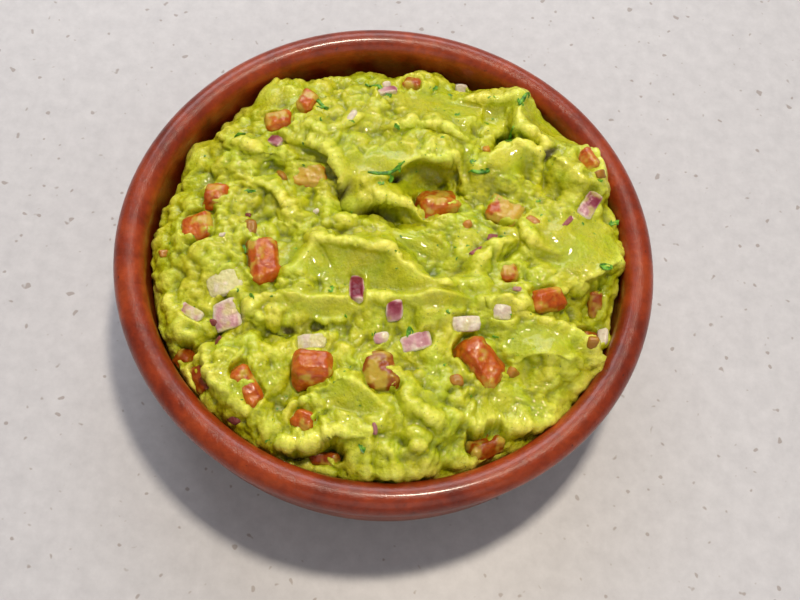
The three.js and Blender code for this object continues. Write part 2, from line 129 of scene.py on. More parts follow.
# folds left by the spoon: rise, reach of the front, reach of the back, lean of the crest over the
# front, and the crest itself; the front lies to the right of the crest
FOLDS = [
    (6.5, 13, 4.5, 0.8, [(-27, -19), (-22, -12), (-19, -7), (-17.5, -3.5), (-13, -3), (-6, -3), (1, -3.5),
                         (6, -7), (10, -9.5), (15, -11), (20, -10), (24, -8)]),
    (3.8, 8, 3.0, 0.0, [(-30, -23), (-20, -20), (-8, -19), (4, -17), (14, -14.5), (24, -13)]),
    (4.2, 1.8, 10, 3.0, [(-29, 25), (-24, 25.5), (-19, 23), (-15.5, 18), (-12.5, 13), (-10.5, 9), (-9, 7)]),
    (3.8, 1.8, 7, 2.6, [(-10, 7), (-7, 11.5), (-3, 13.2), (2, 13), (9, 11)]),
    (5.6, 1.8, 11, 3.8, [(-4, 18), (0, 22.5), (4, 25), (9, 26), (13, 27), (17, 25.5), (19, 20)]),
    (3.4, 3, 7, 1.4, [(-4, 33), (2, 35.5), (8, 35), (14, 33), (20, 34)]),
    (5.0, 4, 8, 1.0, [(27, 50), (29, 45), (30, 40), (35, 37), (39, 31), (46, 26), (52, 23)]),
    (3.6, 2.5, 9, 1.6, [(36, 24), (36, 29), (33, 32.5), (28, 33), (24, 30), (21.5, 24)]),
    (4.6, 2.6, 10, 3.0, [(26, -45), (36, -41.5), (46, -35.5), (52.5, -28), (53.5, -22), (50, -18), (44, -17),
                         (34, -16)]),
    (4.6, 7, 3.5, 0.4, [(-17, -50), (-13, -45), (-8, -41.5), (-2, -40.5), (4, -42.5), (9, -47)]),
    (4.0, 1.6, 6, 2.6, [(-20, -54.5), (-15, -55.5), (-10, -55), (-6.5, -52.5), (-3, -52), (2, -52.5)]),
    (3.6, 3, 6, 1.4, [(-40, -33), (-37, -41), (-31, -47.5), (-22, -53)]),
    (3.8, 2.6, 11, 1.8, [(44, -6), (49, -3), (54, 1.5), (58, 6), (61, 13)]),
    (2.8, 4, 4, 0.6, [(21, -7), (24, -2), (27, 4), (31, 8)]),
    (2.8, 3, 6, 1.2, [(23, -8), (27, -12.5), (34, -13), (38, -9)]),
    (2.8, 3, 5, 1.2, [(-50, 27), (-43, 22.5), (-36, 20.5), (-30, 21.5)]),
    (2.6, 3, 5, 1.0, [(-46, 16), (-38, 12), (-31, 10), (-26, 4), (-22, 0)]),
    (2.6, 3, 5, 1.2, [(10, 48), (17, 50), (23, 48), (28, 50)]),
    (2.8, 3, 6, 1.2, [(5, -29), (9, -36), (12, -43), (19, -46.5), (29, -48)]),
    (2.4, 3, 5, 1.0, [(-54, -20), (-49, -28), (-44, -33), (-38, -35)]),
    (2.6, 2.6, 5, 1.4, [(4, -60), (2.5, -55), (3, -50), (7, -47)]),
    (2.4, 3, 5, 1.0, [(38, 50), (43, 46.5), (49, 44.5), (53, 41)]),
    (2.4, 2.6, 6, 1.2, [(-34, -21), (-29, -26), (-22, -27.5), (-14, -27)]),
    (2.2, 3, 5, 1.0, [(34, -29), (40, -25), (46, -24), (50, -21)]),
    (2.0, 2.6, 5, 1.0, [(-30, 33), (-24, 30), (-19, 31.5), (-13, 36)]),
    (2.0, 2.6, 4, 1.0, [(38, 18), (34, 12), (38, 6), (44, 4)]),
]

# the form of a fold: how its front and its back fall away from the crest, the thin ridge along the
# crest, and how high a fold has to be to carry the whole ridge
FRONT_CURVE = 1.25
BACK_CURVE = 1.5
RIDGE_WIDTH = 0.9
RIDGE_HEIGHT = 0.7
RIDGE_NEEDS = 3.6

# share of the radius from which all relief fades away, up to the wall
FADE_FROM = 0.955

# places the spoon has smoothed: x, y, half-length, half-width, turn
SMOOTHED = [
    (-6, -10, 22, 5.5, -4), (-14, -21, 14, 3.5, 6), (-2, 20, 14, 6.5, 12), (6, 44, 13, 5, 0),
    (48, 8, 11, 9, 30), (38, 43, 9, 5, -20), (8, 1, 9, 3, -20), (14, -15, 11, 3, 10), (28, 28, 6, 4, 0),
    (40, -22, 9, 4, 10), (-24, 22, 7, 3, -10), (-1, -44, 8, 4, 0), (-40, 40, 6, 4, 0),
    (22, 44, 4, 4, 0),
]

# the share of a piece that guacamole is smeared over, where it isn't the usual one; a piece with a
# share below 0 stays quite clear
COVER = {
    "tomato_left_smeared": 0.42, "tomato_right_smeared": 0.6, "tomato_under_web": 0.66,
    "tomato_in_hollow": 0.34, "tomato_dark_middle": 0.4, "tomato_pale_middle": 0.5,
    "tomato_left_small": 0.32, "tomato_big_cube": 0.02, "tomato_right_red": 0.12,
    "tomato_big_orange": 0.22, "onion_pale_left": 0.5, "onion_lilac_left": 0.2,
    "onion_magenta": -0.4, "onion_purple_middle": 0.05, "onion_dark_top_left": 0.1,
}
USUAL_COVER = 0.24

# ------------------------------------------------------------------ noise and small helpers
# random numbers that the noise picks from, in five rows; their count is a power of two
DICE_COUNT = 8192
DICE = np.random.RandomState(11).rand(5, DICE_COUNT)


def chance(cells, channel):
    """A steady random number from 0 to 1 for each row of whole numbers."""
    mixed = cells[:, 0] * 73856093 ^ cells[:, 1] * 19349663 ^ cells[:, 2] * 83492791
    mixed = (mixed ^ (mixed >> 13)) * 1274126177
    return DICE[channel, (mixed ^ (mixed >> 9)) & (DICE_COUNT - 1)]


def noise(points, size, seed=0):
    """Smooth noise from -1 to 1 whose bumps are about `size` across."""
    scaled = points / size + seed * 17.31
    cell = np.floor(scaled).astype(np.int64)
    part = scaled - cell
    part = part * part * part * (part * (part * 6 - 15) + 10)
    total = np.zeros(len(points))
    for corner in itertools.product((0, 1), repeat=3):
        weight = np.ones(len(points))
        for axis in range(3):
            weight *= part[:, axis] if corner[axis] else 1 - part[:, axis]
        total += weight * chance(cell + corner, 0)
    return 2 * total - 1


def lumps(points, size, seed=0):
    """Rounded lumps packed side by side: 0 in the creases, up to about 1 on the largest."""
    scaled = points / size + seed * 9.73
    cell = np.floor(scaled).astype(np.int64)
    tallest = np.zeros(len(points))
    for step in itertools.product((-1, 0, 1), repeat=3):
        near = cell + step
        centre = near + 0.5
        for axis in range(3):
            centre[:, axis] += 0.8 * (chance(near, axis + 1) - 0.5)
        radius = 0.5 + 0.5 * chance(near, 4)
        share = ((scaled - centre) ** 2).sum(1) / radius ** 2
        tallest = np.maximum(tallest, radius * np.sqrt(np.clip(1 - share, 0, 1)))
    return tallest


def smooth_step(low, high, value):
    share = np.clip((value - low) / (high - low), 0, 1)
    return share * share * (3 - 2 * share)


def rounded_line(points, steps=6):
    """The points joined by a smooth curve through all of them."""
    points = [np.array(p, float) for p in points]
    padded = [2 * points[0] - points[1], *points, 2 * points[-1] - points[-2]]
    curve = []
    for a, b, c, d in zip(padded, padded[1:], padded[2:], padded[3:]):
        for i in range(steps):
            t = i / steps
            curve.append(0.5 * (2 * b + (c - a) * t + (2 * a - 5 * b + 4 * c - d) * t * t
                                + (3 * b - a - 3 * c + d) * t ** 3))
    return np.array([*curve, points[-1]])


def make_mesh(name, points_mm, faces, material, slot, smooth=True):
    mesh = bpy.data.meshes.new(name)
    mesh.from_pydata((np.asarray(points_mm) * MM).tolist(), [], faces)
    mesh.update()
    if smooth:
        mesh.shade_smooth()
    piece = bpy.data.objects.new(name, mesh)
    bpy.context.scene.collection.objects.link(piece)
    mesh.materials.append(material)
    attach(piece, "root")
    return piece


def add_attribute(piece, name, values):
    layer = piece.data.attributes.new(name, "FLOAT", "POINT")
    layer.data.foreach_set("value", np.asarray(values, np.float32))


def vertices_mm(mesh):
    flat = np.empty(3 * len(mesh.vertices))
    mesh.vertices.foreach_get("co", flat)
    return flat.reshape(-1, 3) / MM


def tube_faces(rings, around):
    """Faces with four corners between rings of points that follow one another."""
    faces = []
    for ring in range(rings - 1):
        low, high = ring * around, (ring + 1) * around
        for i in range(around):
            j = (i + 1) % around
            faces.append((low + i, low + j, high + j, high + i))
    return faces


def closed_faces(rings, around):
    """Faces of a closed form: the rings of points come first, then the point that closes each end."""
    faces = tube_faces(rings, around)
    last = (rings - 1) * around
    first_end, last_end = rings * around, rings * around + 1
    for i in range(around):
        j = (i + 1) % around
        faces += [(j, i, first_end), (last + i, last + j, last_end)]
    return faces


def joined(parts):
    """The points and the faces of several small meshes, as those of one mesh."""
    starts = np.cumsum([0] + [len(points) for points, _ in parts])
    faces = [tuple(start + i for i in face) for start, (_, own) in zip(starts, parts) for face in own]
    return np.concatenate([points for points, _ in parts]), faces


# ------------------------------------------------------------------ the form of the heap
def wall_radius(height):
    return np.interp(height, WALL_HEIGHTS, WALL_RADII)


def heap_edge(angle):
    """Height of the heap's edge and fullness of its shoulder at each angle."""
    degrees = np.mod(angle / DEG, 360)
    at = np.clip(np.searchsorted(HEAP_EDGE[:, 0], degrees, side="right") - 1, 0, len(HEAP_EDGE) - 2)
    low, high = HEAP_EDGE[at], HEAP_EDGE[at + 1]
    share = smooth_step(0, 1, (degrees - low[:, 0]) / (high[:, 0] - low[:, 0]))[:, None]
    between = low + (high - low) * share
    return between[:, 1], between[:, 2]


def square_to_round(a, b):
    """Moves points of the square from -1 to 1 onto the unit disc: angle and share of the radius."""
    wide = np.abs(a) > np.abs(b)
    a_safe = np.where(a == 0, 1, a)
    b_safe = np.where(b == 0, 1, b)
    angle = np.where(wide, 45 * DEG * b / a_safe + np.where(a < 0, math.pi, 0),
                     90 * DEG - 45 * DEG * a / b_safe + np.where(b < 0, math.pi, 0))
    return angle, np.maximum(np.abs(a), np.abs(b))


def crest_distance(line, x, y):
    """For each point the distance to a crest, which side of it the point is on (1 in front, -1
    behind), the share of the way along the crest, and the direction in which its front faces."""
    nearest = np.full(len(x), np.inf)
    side = np.ones(len(x))
    along = np.zeros(len(x))
    ahead = np.zeros((len(x), 2))
    for i, (start, end) in enumerate(zip(line, line[1:])):
        step = end - start
        share = np.clip(((x - start[0]) * step[0] + (y - start[1]) * step[1]) / (step @ step), 0, 1)
        away_x = x - start[0] - share * step[0]
        away_y = y - start[1] - share * step[1]
        distance = np.hypot(away_x, away_y)
        closer = distance < nearest
        nearest[closer] = distance[closer]
        side[closer] = np.where(step[0] * away_y - step[1] * away_x < 0, 1, -1)[closer]
        along[closer] = ((i + share) / (len(line) - 1))[closer]
        ahead[closer] = np.array([step[1], -step[0]]) / np.hypot(*step)
    return nearest, side, along, ahead


def fold_shape(fold, x, y, wobble):
    """Rise of one fold at each point, how far it leans forward there, and the ridge along its crest."""
    rise, front, back, lean, crest = fold
    nearest, side, along, ahead = crest_distance(rounded_line(crest), x, y)
    signed = side * nearest + wobble
    past_end = (along < 0.01) | (along > 0.99)
    strength = 0.35 + 0.65 * np.sin(math.pi * along)
    strength *= 1 - smooth_step(0.3, 1, np.where(past_end, nearest / back, 0))
    front_share = np.clip(signed / front, 0, 1)
    back_share = np.clip(-signed / back, 0, 1)
    form = np.where(signed > 0, (1 - front_share) ** FRONT_CURVE, (1 - back_share) ** BACK_CURVE)
    push = np.where(signed > 0, (1 - front_share) ** 2, (1 - np.minimum(1, 1.8 * back_share)) ** 2)
    ridge = np.exp(-(signed / RIDGE_WIDTH) ** 2) * strength * min(1, rise / RIDGE_NEEDS)
    return rise * strength * form, (lean * strength * push)[:, None] * ahead, ridge


def ellipse_share(x, y, cx, cy, half_length, half_width, turn):
    cos, sin = math.cos(turn * DEG), math.sin(turn * DEG)
    u = ((x - cx) * cos + (y - cy) * sin) / half_length
    v = (-(x - cx) * sin + (y - cy) * cos) / half_width
    return u * u + v * v


def round_bump(x, y, cx, cy, spread):
    """1 at the middle of a round bump, falling smoothly to 0."""
    return np.exp(-((x - cx) ** 2 + (y - cy) ** 2) / spread ** 2)


def heap_form(angle, share):
    """The heap as the spoon left it: its points, and for each of them how smooth it is, how far in
    from the wall, how much on a ridge, and how deep in a cave, which sets the shade painted there."""
    edge, fullness = heap_edge(angle)
    radius = share * (wall_radius(edge) + INTO_WALL)
    x, y = radius * np.cos(angle), radius * np.sin(angle)
    flat = np.stack([x, y, np.zeros(len(x))], 1)
    wobble = 0.55 * noise(flat, 5, 1) + 0.25 * noise(flat, 2, 2)
    bend_x = x + 0.8 * noise(flat, 9, 3)
    bend_y = y + 0.8 * noise(flat, 9, 4)
    relief = np.zeros(len(x))
    ridges = np.zeros(len(x))
    caves = np.zeros(len(x))
    push = np.zeros((len(x), 2))
    for *place, rise in SWELLINGS:
        relief += rise * round_bump(x, y, *place)
    for fold in FOLDS:
        rise, lean, ridge = fold_shape(fold, bend_x, bend_y, wobble)
        relief += rise
        push += lean
        ridges = np.maximum(ridges, ridge)
    ridges *= 0.62 + 0.5 * noise(flat, 5, 12)
    relief += RIDGE_HEIGHT * ridges
    for *place, depth in HOLLOWS:
        relief -= depth * np.exp(-ellipse_share(bend_x, bend_y, *place))
    # a cave is a dip in the surface, and how far a point lies inside it also sets painted shade on the
    # colour
    for *place, depth in CAVES:
        inside = np.exp(-ellipse_share(bend_x, bend_y, *place))
        relief -= depth * inside
        caves = np.maximum(caves, inside)
    relief += 1.1 * noise(flat, 9, 5)
    for cx, cy, spread, outward in BULGES:
        near = outward * round_bump(x, y, cx, cy, spread)
        push += near[:, None] * np.array([cx, cy]) / math.hypot(cx, cy)
    inner = 1 - smooth_step(FADE_FROM, 1, share)
    height = edge + (HEAP_TOP - edge) * np.sqrt(np.clip(1 - share ** fullness, 0, 1)) + relief * inner
    smoothed = np.zeros(len(x))
    for place in SMOOTHED:
        smoothed = np.maximum(smoothed, 1 - smooth_step(0.5, 1.2, ellipse_share(bend_x, bend_y, *place)))
    points = np.stack([x + push[:, 0] * inner, y + push[:, 1] * inner, height], 1)
    return points, smoothed, inner, ridges, caves


def grid_normals(points, row):
    grid = points.reshape(row, row, 3)
    along = np.gradient(grid, axis=1)
    across = np.gradient(grid, axis=0)
    normals = np.cross(along, across).reshape(-1, 3)
    return normals / np.maximum(np.linalg.norm(normals, axis=1, keepdims=True), 1e-9)


def soften(values, row, times):
    """Averages each value of a grid with its neighbours."""
    grid = values.reshape(row, row).copy()
    for _ in range(times):
        grid[1:-1, 1:-1] = (grid[1:-1, 1:-1] + grid[:-2, 1:-1] + grid[2:, 1:-1]
                            + grid[1:-1, :-2] + grid[1:-1, 2:]) / 5
    return grid.ravel()


# ------------------------------------------------------------------ materials
class Look:
    """A material being put together, with short ways to add nodes to it."""

    def __init__(self, name):
        self.material = bpy.data.materials.new(name)
        self.material.use_nodes = True
        self.nodes = self.material.node_tree.nodes
        self.links = self.material.node_tree.links
        self.shader = self.nodes["Principled BSDF"]

    def noise(self, size_mm, detail=3.0, roughness=0.55, distortion=0.0):
        place = self.nodes.new("ShaderNodeTexCoord")
        texture = self.nodes.new("ShaderNodeTexNoise")
        self.links.new(place.outputs["Object"], texture.inputs["Vector"])
        texture.inputs["Scale"].default_value = 1 / (size_mm * MM)
        texture.inputs["Detail"].default_value = detail
        texture.inputs["Roughness"].default_value = roughness
        texture.inputs["Distortion"].default_value = distortion
        return texture.outputs["Fac"]

    def attribute(self, name):
        node = self.nodes.new("ShaderNodeAttribute")
        node.attribute_name = name
        return node.outputs["Fac"]

    def ramp(self, value, stops):
        """Turns a value into a colour (or a grey) between the listed stops."""
        ramp = self.nodes.new("ShaderNodeValToRGB")
        elements = ramp.color_ramp.elements
        while len(elements) < len(stops):
            elements.new(0.5)
        for element, (position, color) in zip(elements, stops):
            element.position = position
            element.color = (*color, 1) if isinstance(color, tuple) else (color, color, color, 1)
        self.links.new(value, ramp.inputs["Fac"])
        return ramp.outputs["Color"]

    def put(self, socket, value):
        """Gives a socket what another node works out, a colour or a plain value."""
        if isinstance(value, bpy.types.NodeSocket):
            self.links.new(value, socket)
        elif socket.type == "RGBA":
            socket.default_value = (*value, 1)
        else:
            socket.default_value = value

    def mix(self, factor, first, second, blend="MIX"):
        node = self.nodes.new("ShaderNodeMix")
        node.data_type = "RGBA"
        node.blend_type = blend
        first_color, second_color = [socket for socket in node.inputs if socket.type == "RGBA"]
        self.put(node.inputs["Factor"], factor)
        self.put(first_color, first)
        self.put(second_color, second)
        return [socket for socket in node.outputs if socket.type == "RGBA"][0]

    def bump(self, height, depth_mm):
        node = self.nodes.new("ShaderNodeBump")
        node.inputs["Distance"].default_value = depth_mm * MM
        node.inputs["Strength"].default_value = 1.0
        self.links.new(height, node.inputs["Height"])
        self.links.new(node.outputs["Normal"], self.shader.inputs["Normal"])

    def shade(self, values):
        """Sets inputs of the shader by their names."""
        for name, value in values.items():
            self.put(self.shader.inputs[name], value)


def guacamole_material():
    look = Look("moist guacamole")
    # the height attribute paints light and shade: what stands proud is painted paler, as if lit, and the
    # creases darker, as if in shade
    tint = look.ramp(look.attribute("height"), [
        (0.0, (0.13, 0.15, 0.001)), (0.3, (0.30, 0.325, 0.002)), (0.6, (0.49, 0.505, 0.006)),
        (1.0, (0.78, 0.77, 0.10))])
    patches = look.noise(9, detail=4, roughness=0.6, distortion=0.6)
    green = look.ramp(patches, [(0.35, (0.84, 1.0, 0.7)), (0.62, (1.04, 1.0, 0.95))])
    tint = look.mix(0.8, tint, green, "MULTIPLY")
    grain = look.noise(1.3, detail=3, roughness=0.6)
    pale = look.ramp(grain, [(0.3, (0.82, 0.84, 0.60)), (0.66, (1.14, 1.12, 1.5))])
    tint = look.mix(0.8, tint, pale, "MULTIPLY")
    flecks = look.ramp(look.noise(0.55, detail=1, roughness=0.5), [(0.71, 0.0), (0.76, 0.75)])
    tint = look.mix(flecks, tint, (0.10, 0.17, 0.02))
    # painted shade: near black deep in the caves
    cave = look.ramp(look.attribute("cave"), [(0.25, 0.0), (0.8, 0.93)])
    tint = look.mix(cave, tint, (0.045, 0.03, 0.004))
    wet = look.noise(3.2, detail=2, roughness=0.5)
    look.shade({
        "Base Color": tint, "Roughness": look.ramp(wet, [(0.35, 0.2), (0.65, 0.42)]),
        "Subsurface Weight": 0.3, "Subsurface Radius": (0.8, 0.75, 0.15), "Subsurface Scale": 1.6 * MM,
        "Specular IOR Level": 0.38, "Coat Weight": 0.42, "Coat Roughness": 0.07})
    look.bump(look.noise(0.9, detail=4, roughness=0.65), depth_mm=0.42)
    return look.material


def tomato_material():
    look = Look("cut tomato")
    flesh = look.ramp(look.noise(3.0, detail=3, roughness=0.6, distortion=0.8), [
        (0.3, (0.32, 0.040, 0.002)), (0.5, (0.46, 0.088, 0.004)), (0.72, (0.56, 0.18, 0.010))])
    pale = look.ramp(look.noise(1.6, detail=2, roughness=0.5), [
        (0.35, (0.50, 0.18, 0.014)), (0.65, (0.62, 0.38, 0.045))])
    flesh = look.mix(look.attribute("edge"), flesh, pale)
    # a darker copy of the flesh, mixed in where a piece is marked less bright: on pieces lying in shade this
    # is painted shade
    dark = look.mix(1.0, flesh, (0.42, 0.30, 0.25), "MULTIPLY")
    flesh = look.mix(look.attribute("brightness"), dark, flesh)
    film = look.ramp(look.attribute("film"), [(0.0, 0.0), (1.0, 0.72)])
    flesh = look.mix(film, flesh, (0.55, 0.44, 0.05))
    look.shade({
        "Base Color": flesh, "Roughness": 0.26,
        "Subsurface Weight": 0.35, "Subsurface Radius": (1.0, 0.35, 0.1), "Subsurface Scale": 1.5 * MM,
        "Specular IOR Level": 0.35, "Coat Weight": 0.2, "Coat Roughness": 0.1})
    look.bump(look.noise(0.8, detail=3, roughness=0.6), depth_mm=0.16)
    return look.material


def onion_material():
    look = Look("red onion")
    skin = look.attribute("skin")
    pale = look.ramp(look.noise(1.5, detail=2, roughness=0.5), [
        (0.35, (0.60, 0.50, 0.42)), (0.65, (0.76, 0.70, 0.56))])
    purple = look.ramp(skin, [
        (0.0, (0.66, 0.60, 0.42)), (0.3, (0.54, 0.30, 0.32)), (0.6, (0.28, 0.06, 0.09)),
        (1.0, (0.15, 0.004, 0.02))])
    tinted = look.ramp(skin, [(0.05, 0.0), (0.3, 1.0)])
    tint = look.mix(tinted, pale, purple)
    film = look.ramp(look.attribute("film"), [(0.0, 0.0), (1.0, 0.6)])
    tint = look.mix(film, tint, (0.56, 0.55, 0.12))
    look.shade({
        "Base Color": tint, "Roughness": 0.24,
        "Subsurface Weight": 0.4, "Subsurface Radius": (0.8, 0.6, 0.6), "Subsurface Scale": 1.2 * MM,
        "Specular IOR Level": 0.2, "Coat Weight": 0.1, "Coat Roughness": 0.1})
    look.bump(look.noise(0.9, detail=2, roughness=0.5), depth_mm=0.3)
    return look.material


def coriander_material():
    look = Look("chopped coriander")
    tint = look.ramp(look.noise(1.2, detail=2, roughness=0.5), [
        (0.3, (0.02, 0.10, 0.003)), (0.5, (0.07, 0.26, 0.008)), (0.7, (0.20, 0.48, 0.02))])
    look.shade({"Base Color": tint, "Roughness": 0.45})
    look.bump(look.noise(0.5, detail=2, roughness=0.5), depth_mm=0.08)
    return look.material


def terracotta_material():
    look = Look("glazed terracotta")
    glaze = look.attribute("glaze")
    fired = look.ramp(look.noise(14, detail=5, roughness=0.6, distortion=0.5), [
        (0.3, (0.15, 0.015, 0.003)), (0.5, (0.255, 0.030, 0.005)), (0.7, (0.36, 0.054, 0.009))])
    raw = look.ramp(look.noise(6, detail=4, roughness=0.6), [
        (0.35, (0.17, 0.050, 0.022)), (0.65, (0.24, 0.08, 0.036))])
    tint = look.mix(glaze, raw, fired)
    mottle = look.ramp(look.noise(2.6, detail=5, roughness=0.7, distortion=0.4), [
        (0.3, (0.62, 0.60, 0.62)), (0.65, (1.12, 1.12, 1.15))])
    tint = look.mix(0.8, tint, mottle, "MULTIPLY")
    # the inner wall below the rim is darker: partly pooled glaze, partly painted shade
    glaze_pool_and_shade = look.mix(1.0, tint, (0.40, 0.30, 0.22), "MULTIPLY")
    tint = look.mix(look.attribute("glaze_pool_and_shade"), tint, glaze_pool_and_shade)
    pits = look.ramp(look.noise(1.6, detail=2, roughness=0.6), [(0.70, 0.0), (0.76, 0.8)])
    tint = look.mix(pits, tint, (0.05, 0.012, 0.008))
    look.shade({
        "Base Color": tint, "Roughness": look.ramp(glaze, [(0.0, 0.7), (1.0, 0.30)]),
        "Specular IOR Level": 0.32, "Coat Weight": 0.22, "Coat Roughness": 0.12})
    look.bump(look.noise(1.8, detail=5, roughness=0.7), depth_mm=0.2)
    return look.material


def table_material():
    look = Look("pale table")
    tint = look.ramp(look.noise(5, detail=5, roughness=0.7), [
        (0.3, (0.475, 0.475, 0.50)), (0.7, (0.565, 0.565, 0.59))])
    specks = look.ramp(look.noise(3.2, detail=1, roughness=0.5), [(0.70, 0.0), (0.74, 0.6)])
    tint = look.mix(specks, tint, (0.22, 0.17, 0.14))
    look.shade({"Base Color": tint, "Roughness": 0.4})
    return look.material


GUACAMOLE = guacamole_material()
TOMATO = tomato_material()
ONION = onion_material()
CORIANDER = coriander_material()
TERRACOTTA = terracotta_material()


# ------------------------------------------------------------------ the bowl
def bowl():
    """The bowl turned on a wheel: slightly out of round, with a rolled lip."""
    underside = [(25, 0)]
    outside = rounded_line(OUTER_WALL, 5)
    lip_angles = np.linspace(-40, 180, 26) * DEG
    lip = np.stack([RIM_RADIUS - LIP_RADIUS + LIP_RADIUS * np.cos(lip_angles),
                    RIM_HEIGHT - LIP_RADIUS + LIP_RADIUS * np.sin(lip_angles)], 1)
    inside = rounded_line(list(zip(WALL_RADII[::-1], WALL_HEIGHTS[::-1])), 5)
    floor = [(30, FLOOR_HEIGHT + 0.1), (15, FLOOR_HEIGHT)]
    profile = np.concatenate([underside, outside, lip, inside, floor])
    angles = np.arange(BOWL_SIDES) * 2 * math.pi / BOWL_SIDES
    rings = []
    for radius, height in profile:
        drift = 0.16 * np.sin(2 * angles + 0.6) + 0.09 * np.sin(5 * angles + height / 9)
        lift = 0.12 * np.sin(3 * angles + 1) * height / RIM_HEIGHT
        thrown = radius + drift * min(1, radius / 60)
        rings.append(np.stack([thrown * np.cos(angles), thrown * np.sin(angles), height + lift], 1))
    points = np.concatenate([*rings, [(0, 0, 0), (0, 0, FLOOR_HEIGHT)]])
    faces = closed_faces(len(profile), BOWL_SIDES)
    piece = make_mesh("terracotta_bowl", points, faces, TERRACOTTA, "glazed_terracotta")
    heights = points[:, 2]
    outer = np.hypot(points[:, 0], points[:, 1]) > wall_radius(heights) + 2
    add_attribute(piece, "glaze", np.where(outer & (heights < 33), smooth_step(20, 31, heights), 1.0))
    # marks the inner wall below the rim for darkening, partly pooled glaze and partly painted shade
    add_attribute(piece, "glaze_pool_and_shade", np.where(outer, 0.0, 1 - smooth_step(30, 37, heights)))
    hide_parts("bowl")


# ------------------------------------------------------------------ the diced pieces
# how bright a piece of tomato is, from 0 to 1, where a word in its name says that it is in shade
TONES = {"wall": 0.35, "dark": 0.3, "far": 0.7}

# how purple each piece of onion is, from 0 to 1
SKIN = {
    "magenta": 1.0, "lilac_left": 0.42, "pale_left": 0.08, "strip_left": 0.5, "pale_front": 0.15,
    "purple_middle": 0.75, "lilac_middle": 0.5, "pale_middle": 0.3, "white_right": 0.06,
    "white_far_right": 0.1, "purple_right": 0.72, "dark_top_left": 0.85, "strip_back": 0.6,
    "clear_back": 0.0,
}
PURPLE_ALL_OVER = 0.9


def box_axes(points):
    """Middle, main directions and half-sizes of a small block, longest direction first."""
    middle = points.mean(0)
    _, _, axes = np.linalg.svd(points - middle, full_matrices=False)
    local = (points - middle) @ axes.T
    centre = middle + (local.max(0) + local.min(0)) / 2 @ axes
    return centre, axes, (local.max(0) - local.min(0)) / 2


def refined(node, material, slot, voxel_mm, roughness_mm, wear, seed):
    """A fine, slightly worn copy of a CAD piece in its place, and the copy's points."""
    rough = bpy.data.objects.new(node + "_rough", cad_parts[node].data.copy())
    bpy.context.scene.collection.objects.link(rough)
    remesh = rough.modifiers.new("even grid", "REMESH")
    remesh.mode = "VOXEL"
    remesh.voxel_size = voxel_mm * MM
    smooth = rough.modifiers.new("worn edges", "SMOOTH")
    smooth.factor = 0.5
    smooth.iterations = wear
    shape = bpy.data.meshes.new_from_object(rough.evaluated_get(bpy.context.evaluated_depsgraph_get()))
    points = vertices_mm(shape)
    faces = [tuple(p.vertices) for p in shape.polygons]
    normals = np.array([v.normal for v in shape.vertices])
    bpy.data.objects.remove(rough)
    bpy.data.meshes.remove(shape)
    uneven = roughness_mm * (noise(points, 2.6, seed) + 0.45 * noise(points, 1.0, seed + 1))
    points = points + normals * uneven[:, None]
    piece = make_mesh(node + "_piece", points, faces, material, slot)
    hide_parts(node)
    return piece, points


def shares_of_block(points, node):
    """Where points lie in a CAD piece: from -1 to 1 along its main directions, and these directions."""
    centre, axes, half = box_axes(vertices_mm(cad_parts[node].data))
    return (points - centre) @ axes.T / half, axes


def film_over(points, node, seed):
    """How thickly guacamole clouds each point of a piece."""
    film = 0.75 * noise(points, 2.8, seed) + 0.3 * noise(points, 1.1, seed + 1)
    return smooth_step(-0.15, 0.4, film + 1.4 * COVER.get(node, USUAL_COVER) - 0.45)


def tomato_pieces():
    names = [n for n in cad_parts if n.startswith("tomato_")]
    for seed, node in enumerate(sorted(names)):
        piece, points = refined(node, TOMATO, "tomato", voxel_mm=0.31, roughness_mm=0.26, wear=3,
                                seed=20 + seed)
        local, _ = shares_of_block(points, node)
        second_largest = np.sort(np.abs(local), axis=1)[:, 1]
        edge = smooth_step(0.62, 0.96, second_largest) * (0.8 + 0.5 * noise(points, 3, seed))
        # pieces lying in shade get a lower value, which paints them darker as painted shade
        brightness = next((brightness for word, brightness in TONES.items() if "_" + word in node), 1.0)
        add_attribute(piece, "edge", np.clip(edge, 0, 1))
        add_attribute(piece, "film", film_over(points, node, 90 + seed))
        add_attribute(piece, "brightness", np.full(len(points), brightness))


def onion_pieces():
    for seed, (key, amount) in enumerate(SKIN.items()):
        node = "onion_" + key
        piece, points = refined(node, ONION, "onion", voxel_mm=0.26, roughness_mm=0.2, wear=14,
                                seed=60 + seed)
        local, axes = shares_of_block(points, node)
        upward = int(np.argmax(np.abs(axes[:, 2])))
        border = smooth_step(0.62, 0.97, np.abs(np.delete(local, upward, 1)).max(1))
        band = 0.55 + 0.45 * smooth_step(-0.4, 0.9, local[:, 0] + 0.5 * noise(points, 3, seed))
        skin = amount * (1 - 0.8 * border) * (band if amount < PURPLE_ALL_OVER else 1.0)
        add_attribute(piece, "skin", np.clip(skin + 0.1 * noise(points, 1.5, seed), 0, 1))
        add_attribute(piece, "film", film_over(points, node, 160 + seed))


# ------------------------------------------------------------------ the heap
# lumps of mashed avocado, from large to small: how far across, how high, and the share of their
# height that lies below the surface
LUMP_SIZES = (7.5, 3.6, 1.9)
LUMP_RISES = (1.9, 1.25, 1.05)
LUMPS_SUNK = 0.4

# the collar of guacamole round a piece: how far from the piece it starts, how high it is and how
# much that varies
COLLAR_REACH = 2.4
COLLAR_RISE = 0.7
COLLAR_VARIES = 0.9

# smears over a piece: how far below its top the bare heap stays, the thinnest a smear is, how fast
# it thickens behind its edge, how soft that edge is, and a level of film that no point reaches
BARE_BELOW = 0.7
SMEAR_THINNEST = 0.1
SMEAR_THICKENS = 0.9
SMEAR_EDGE = 0.1
NEVER_COVERED = 5.0


